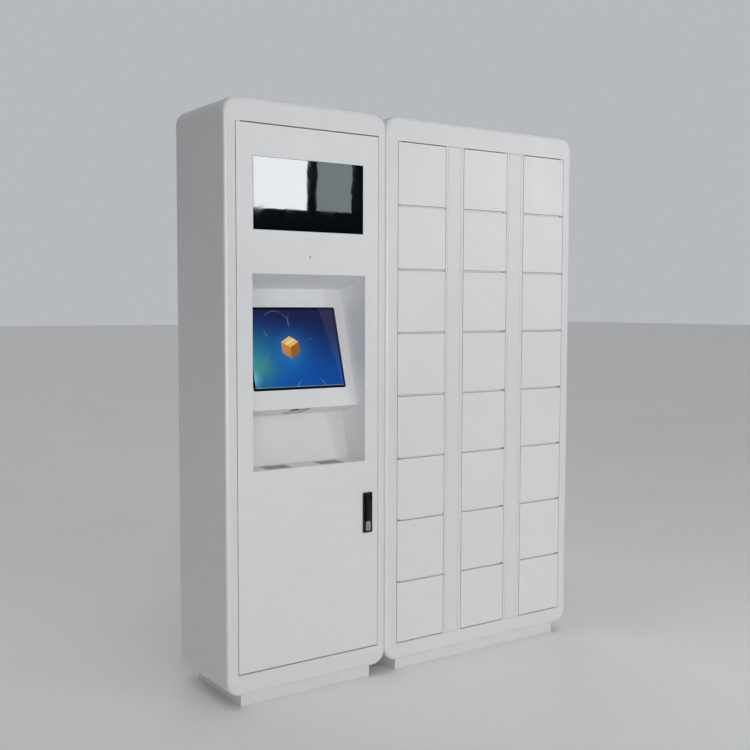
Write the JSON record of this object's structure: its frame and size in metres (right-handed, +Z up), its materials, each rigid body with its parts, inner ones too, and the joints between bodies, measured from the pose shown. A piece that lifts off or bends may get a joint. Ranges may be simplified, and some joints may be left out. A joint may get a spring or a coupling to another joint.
{
  "type": "parcel locker",
  "caption": "Free-standing parcel locker: a control cabinet with screen niche, display and service door, joined to a bank of small hinged compartment doors.",
  "frame": {"origin": "centre of the whole footprint on the floor, handle included", "axes": "+Z up, front of the doors faces -Y, +X to the right as seen from the front"},
  "size_m": [1.46, 0.367, 1.9],
  "materials": {
    "cabinet_paint": "satin powder coat, light cool grey white",
    "door_paint": "satin powder coat, light cool grey white",
    "screen_glass": "glossy, black behind",
    "device_plastic": "matte black",
    "zinc_steel": "zinc plated",
    "handle_black": "black satin coat on die casting",
    "key_nickel": "satin nickel",
    "equipment_case": "anodised",
    "circuit_board": "solder mask",
    "grommet_rubber": "matte"
  },
  "bodies": {
    "cabinet": {"main_shell": "cabinet_paint", "main_rear_panel": "cabinet_paint", "main_plinth": "cabinet_paint", "main_hinge_brackets": "zinc_steel", "control_computer": "equipment_case", "lock_control_board": "circuit_board", "power_supply": "equipment_case", "mains_inlet": "grommet_rubber", "cabinet_joining_bolts": "zinc_steel", "locker_shell": "cabinet_paint", "locker_rear_panel": "cabinet_paint", "locker_plinth": "cabinet_paint", "locker_partitions": "cabinet_paint", "locker_shelves": "cabinet_paint", "lock_cover_strips": "cabinet_paint", "electric_locks": "zinc_steel", "locker_hinge_brackets": "zinc_steel"},
    "service_door": {"service_door_panel": "door_paint", "display_glass": "screen_glass", "advert_display": "device_plastic", "display_brackets": "zinc_steel", "camera_module": "device_plastic", "niche_housing": "cabinet_paint", "touch_glass": "screen_glass", "touch_monitor": "device_plastic", "scanner_module": "device_plastic", "card_readers": "device_plastic", "handle_base": "handle_black", "rod_guides": "zinc_steel"},
    "lock_spindle": {"lock_spindle": "handle_black", "lock_cam": "zinc_steel"},
    "handle_lever": {"handle_lever": "handle_black"},
    "upper_rod": {"upper_rod": "zinc_steel"},
    "lower_rod": {"lower_rod": "zinc_steel"},
    "key_cylinder": {"key_cylinder": "key_nickel"},
    "key_cover": {"key_cover": "key_nickel"},
    "locker_door_c1_r1": {"locker_door_c1_r1": "door_paint"},
    "locker_door_c1_r2": {"locker_door_c1_r2": "door_paint"},
    "locker_door_c1_r3": {"locker_door_c1_r3": "door_paint"},
    "locker_door_c1_r4": {"locker_door_c1_r4": "door_paint"},
    "locker_door_c1_r5": {"locker_door_c1_r5": "door_paint"},
    "locker_door_c1_r6": {"locker_door_c1_r6": "door_paint"},
    "locker_door_c1_r7": {"locker_door_c1_r7": "door_paint"},
    "locker_door_c1_r8": {"locker_door_c1_r8": "door_paint"},
    "locker_door_c2_r1": {"locker_door_c2_r1": "door_paint"},
    "locker_door_c2_r2": {"locker_door_c2_r2": "door_paint"},
    "locker_door_c2_r3": {"locker_door_c2_r3": "door_paint"},
    "locker_door_c2_r4": {"locker_door_c2_r4": "door_paint"},
    "locker_door_c2_r5": {"locker_door_c2_r5": "door_paint"},
    "locker_door_c2_r6": {"locker_door_c2_r6": "door_paint"},
    "locker_door_c2_r7": {"locker_door_c2_r7": "door_paint"},
    "locker_door_c2_r8": {"locker_door_c2_r8": "door_paint"},
    "locker_door_c3_r1": {"locker_door_c3_r1": "door_paint"},
    "locker_door_c3_r2": {"locker_door_c3_r2": "door_paint"},
    "locker_door_c3_r3": {"locker_door_c3_r3": "door_paint"},
    "locker_door_c3_r4": {"locker_door_c3_r4": "door_paint"},
    "locker_door_c3_r5": {"locker_door_c3_r5": "door_paint"},
    "locker_door_c3_r6": {"locker_door_c3_r6": "door_paint"},
    "locker_door_c3_r7": {"locker_door_c3_r7": "door_paint"},
    "locker_door_c3_r8": {"locker_door_c3_r8": "door_paint"}
  },
  "joints": [
    {"name": "service_door_hinge", "type": "hinge", "parent": "cabinet", "child": "service_door", "pos_m": [-0.681, -0.1595, 0.967], "axis": [0, 0, -1], "range_deg": [0, 105]},
    {"name": "spindle_turn", "type": "hinge", "parent": "service_door", "child": "lock_spindle", "pos_m": [-0.2087, -0.1665, 0.624], "axis": [0, 1, 0], "range_deg": [0, 90]},
    {"name": "lever_lift", "type": "hinge", "parent": "lock_spindle", "child": "handle_lever", "pos_m": [-0.2087, -0.178, 0.624], "axis": [-1, 0, 0], "range_deg": [0, 45]},
    {"name": "upper_rod_slide", "type": "slide", "parent": "service_door", "child": "upper_rod", "axis": [0, 0, 1], "range_m": [0, 0.014]},
    {"name": "lower_rod_slide", "type": "slide", "parent": "service_door", "child": "lower_rod", "axis": [0, 0, -1], "range_m": [0, 0.014]},
    {"name": "key_turn", "type": "hinge", "parent": "service_door", "child": "key_cylinder", "pos_m": [-0.21, -0.1665, 0.524], "axis": [0, 1, 0], "range_deg": [0, 90]},
    {"name": "key_cover_swing", "type": "hinge", "parent": "service_door", "child": "key_cover", "pos_m": [-0.21, -0.1665, 0.5345], "axis": [0, 1, 0], "range_deg": [0, 90]},
    {"name": "hinge_c1_r1", "type": "hinge", "parent": "cabinet", "child": "locker_door_c1_r1", "pos_m": [-0.0747, -0.16, 1.7115], "axis": [0, 0, -1], "range_deg": [0, 105]},
    {"name": "hinge_c1_r2", "type": "hinge", "parent": "cabinet", "child": "locker_door_c1_r2", "pos_m": [-0.0747, -0.16, 1.4965], "axis": [0, 0, -1], "range_deg": [0, 105]},
    {"name": "hinge_c1_r3", "type": "hinge", "parent": "cabinet", "child": "locker_door_c1_r3", "pos_m": [-0.0747, -0.16, 1.2815], "axis": [0, 0, -1], "range_deg": [0, 105]},
    {"name": "hinge_c1_r4", "type": "hinge", "parent": "cabinet", "child": "locker_door_c1_r4", "pos_m": [-0.0747, -0.16, 1.0665], "axis": [0, 0, -1], "range_deg": [0, 105]},
    {"name": "hinge_c1_r5", "type": "hinge", "parent": "cabinet", "child": "locker_door_c1_r5", "pos_m": [-0.0747, -0.16, 0.8515], "axis": [0, 0, -1], "range_deg": [0, 105]},
    {"name": "hinge_c1_r6", "type": "hinge", "parent": "cabinet", "child": "locker_door_c1_r6", "pos_m": [-0.0747, -0.16, 0.6365], "axis": [0, 0, -1], "range_deg": [0, 105]},
    {"name": "hinge_c1_r7", "type": "hinge", "parent": "cabinet", "child": "locker_door_c1_r7", "pos_m": [-0.0747, -0.16, 0.4215], "axis": [0, 0, -1], "range_deg": [0, 105]},
    {"name": "hinge_c1_r8", "type": "hinge", "parent": "cabinet", "child": "locker_door_c1_r8", "pos_m": [-0.0747, -0.16, 0.2065], "axis": [0, 0, -1], "range_deg": [0, 105]},
    {"name": "hinge_c2_r1", "type": "hinge", "parent": "cabinet", "child": "locker_door_c2_r1", "pos_m": [0.394, -0.16, 1.7115], "axis": [0, 0, 1], "range_deg": [0, 105]},
    {"name": "hinge_c2_r2", "type": "hinge", "parent": "cabinet", "child": "locker_door_c2_r2", "pos_m": [0.394, -0.16, 1.4965], "axis": [0, 0, 1], "range_deg": [0, 105]},
    {"name": "hinge_c2_r3", "type": "hinge", "parent": "cabinet", "child": "locker_door_c2_r3", "pos_m": [0.394, -0.16, 1.2815], "axis": [0, 0, 1], "range_deg": [0, 105]},
    {"name": "hinge_c2_r4", "type": "hinge", "parent": "cabinet", "child": "locker_door_c2_r4", "pos_m": [0.394, -0.16, 1.0665], "axis": [0, 0, 1], "range_deg": [0, 105]},
    {"name": "hinge_c2_r5", "type": "hinge", "parent": "cabinet", "child": "locker_door_c2_r5", "pos_m": [0.394, -0.16, 0.8515], "axis": [0, 0, 1], "range_deg": [0, 105]},
    {"name": "hinge_c2_r6", "type": "hinge", "parent": "cabinet", "child": "locker_door_c2_r6", "pos_m": [0.394, -0.16, 0.6365], "axis": [0, 0, 1], "range_deg": [0, 105]},
    {"name": "hinge_c2_r7", "type": "hinge", "parent": "cabinet", "child": "locker_door_c2_r7", "pos_m": [0.394, -0.16, 0.4215], "axis": [0, 0, 1], "range_deg": [0, 105]},
    {"name": "hinge_c2_r8", "type": "hinge", "parent": "cabinet", "child": "locker_door_c2_r8", "pos_m": [0.394, -0.16, 0.2065], "axis": [0, 0, 1], "range_deg": [0, 105]},
    {"name": "hinge_c3_r1", "type": "hinge", "parent": "cabinet", "child": "locker_door_c3_r1", "pos_m": [0.6772, -0.16, 1.7115], "axis": [0, 0, 1], "range_deg": [0, 105]},
    {"name": "hinge_c3_r2", "type": "hinge", "parent": "cabinet", "child": "locker_door_c3_r2", "pos_m": [0.6772, -0.16, 1.4965], "axis": [0, 0, 1], "range_deg": [0, 105]},
    {"name": "hinge_c3_r3", "type": "hinge", "parent": "cabinet", "child": "locker_door_c3_r3", "pos_m": [0.6772, -0.16, 1.2815], "axis": [0, 0, 1], "range_deg": [0, 105]},
    {"name": "hinge_c3_r4", "type": "hinge", "parent": "cabinet", "child": "locker_door_c3_r4", "pos_m": [0.6772, -0.16, 1.0665], "axis": [0, 0, 1], "range_deg": [0, 105]},
    {"name": "hinge_c3_r5", "type": "hinge", "parent": "cabinet", "child": "locker_door_c3_r5", "pos_m": [0.6772, -0.16, 0.8515], "axis": [0, 0, 1], "range_deg": [0, 105]},
    {"name": "hinge_c3_r6", "type": "hinge", "parent": "cabinet", "child": "locker_door_c3_r6", "pos_m": [0.6772, -0.16, 0.6365], "axis": [0, 0, 1], "range_deg": [0, 105]},
    {"name": "hinge_c3_r7", "type": "hinge", "parent": "cabinet", "child": "locker_door_c3_r7", "pos_m": [0.6772, -0.16, 0.4215], "axis": [0, 0, 1], "range_deg": [0, 105]},
    {"name": "hinge_c3_r8", "type": "hinge", "parent": "cabinet", "child": "locker_door_c3_r8", "pos_m": [0.6772, -0.16, 0.2065], "axis": [0, 0, 1], "range_deg": [0, 105]}
  ],
  "couplings": [
    {"joint": "upper_rod_slide", "follows": "spindle_turn", "m_per_rad": 0.0089},
    {"joint": "lower_rod_slide", "follows": "spindle_turn", "m_per_rad": 0.0089}
  ]
}
